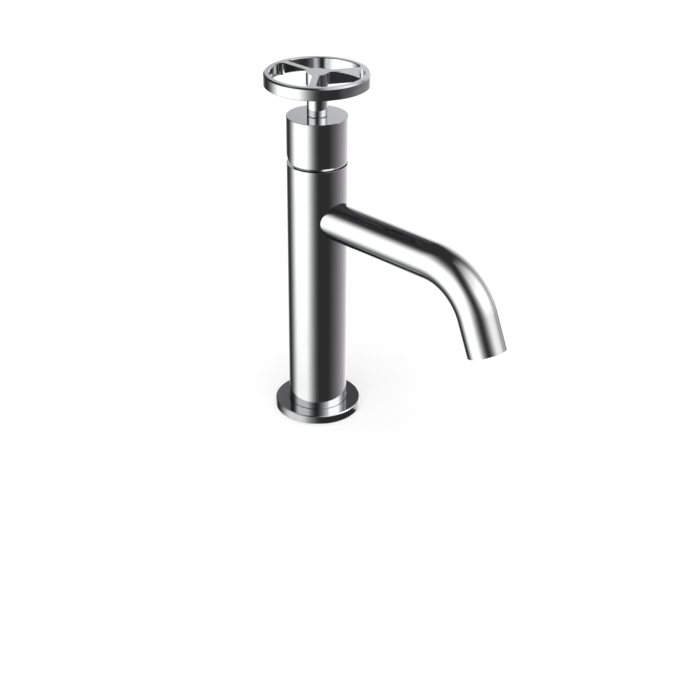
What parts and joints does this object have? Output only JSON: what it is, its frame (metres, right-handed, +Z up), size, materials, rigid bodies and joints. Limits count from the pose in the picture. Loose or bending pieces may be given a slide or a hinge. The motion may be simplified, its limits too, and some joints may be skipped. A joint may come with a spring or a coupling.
{
  "type": "single-hole lavatory faucet",
  "caption": "Chrome column lavatory faucet with a level tube spout bent down at its end, a tilting handle barrel under a spoked handwheel, and a ceramic-disc mixing cartridge inside.",
  "frame": {"origin": "middle of the base flange's underside, on the deck plane and on the column's axis", "axes": "+Z up along the column, -Y the way the spout points, so +X is on the right hand of a person who stands in front of the spout"},
  "size_m": [0.0596, 0.1701, 0.212],
  "materials": {
    "chrome": "mirror-polished chrome plate on brass",
    "brass": "machined",
    "copper": "drawn copper tube",
    "steel": "stainless steel",
    "rubber": "moulded",
    "alumina": "lapped alumina",
    "resin": "moulded acetal"
  },
  "bodies": {
    "faucet_body": {"base_flange": "chrome", "deck_seal": "rubber", "column_tube": "chrome", "base_insert": "brass", "insert_ring": "rubber", "hot_supply_tube": "copper", "cold_supply_tube": "copper", "valve_seat": "brass", "seat_ring": "rubber", "spout_tube": "chrome", "spout_nipple": "brass", "nipple_ring": "rubber", "aerator_housing": "steel", "aerator_core": "resin", "aerator_screen": "steel", "aerator_washer": "rubber", "hot_port_seal": "rubber", "cold_port_seal": "rubber", "outlet_port_seal": "rubber", "cartridge_base": "resin", "fixed_disc": "alumina", "cartridge_housing": "resin", "retaining_nut": "chrome", "trim_dome": "chrome"},
    "cartridge_turner": {"lever_guide": "resin", "lever_pin": "steel"},
    "handle": {"spindle_lever": "steel", "handle_barrel": "chrome", "barrel_screw": "steel", "screw_plug": "chrome", "handle_stem": "chrome", "handwheel": "chrome"},
    "mixing_plate": {"disc_carrier": "resin", "moving_disc": "alumina"}
  },
  "joints": [
    {"name": "temperature_turn", "type": "hinge", "parent": "faucet_body", "child": "cartridge_turner", "pos_m": [0, 0, 0.16], "axis": [0, 0, 1], "range_deg": [-45, 45]},
    {"name": "flow_tilt", "type": "hinge", "parent": "cartridge_turner", "child": "handle", "pos_m": [0, 0, 0.16], "axis": [-1, 0, 0], "range_deg": [0, 24]},
    {"name": "plate_slide", "type": "slide", "parent": "cartridge_turner", "child": "mixing_plate", "axis": [0, -1, 0], "range_m": [0, 0.00277]}
  ],
  "couplings": [
    {"joint": "plate_slide", "follows": "flow_tilt", "m_per_rad": 0.0065835}
  ]
}
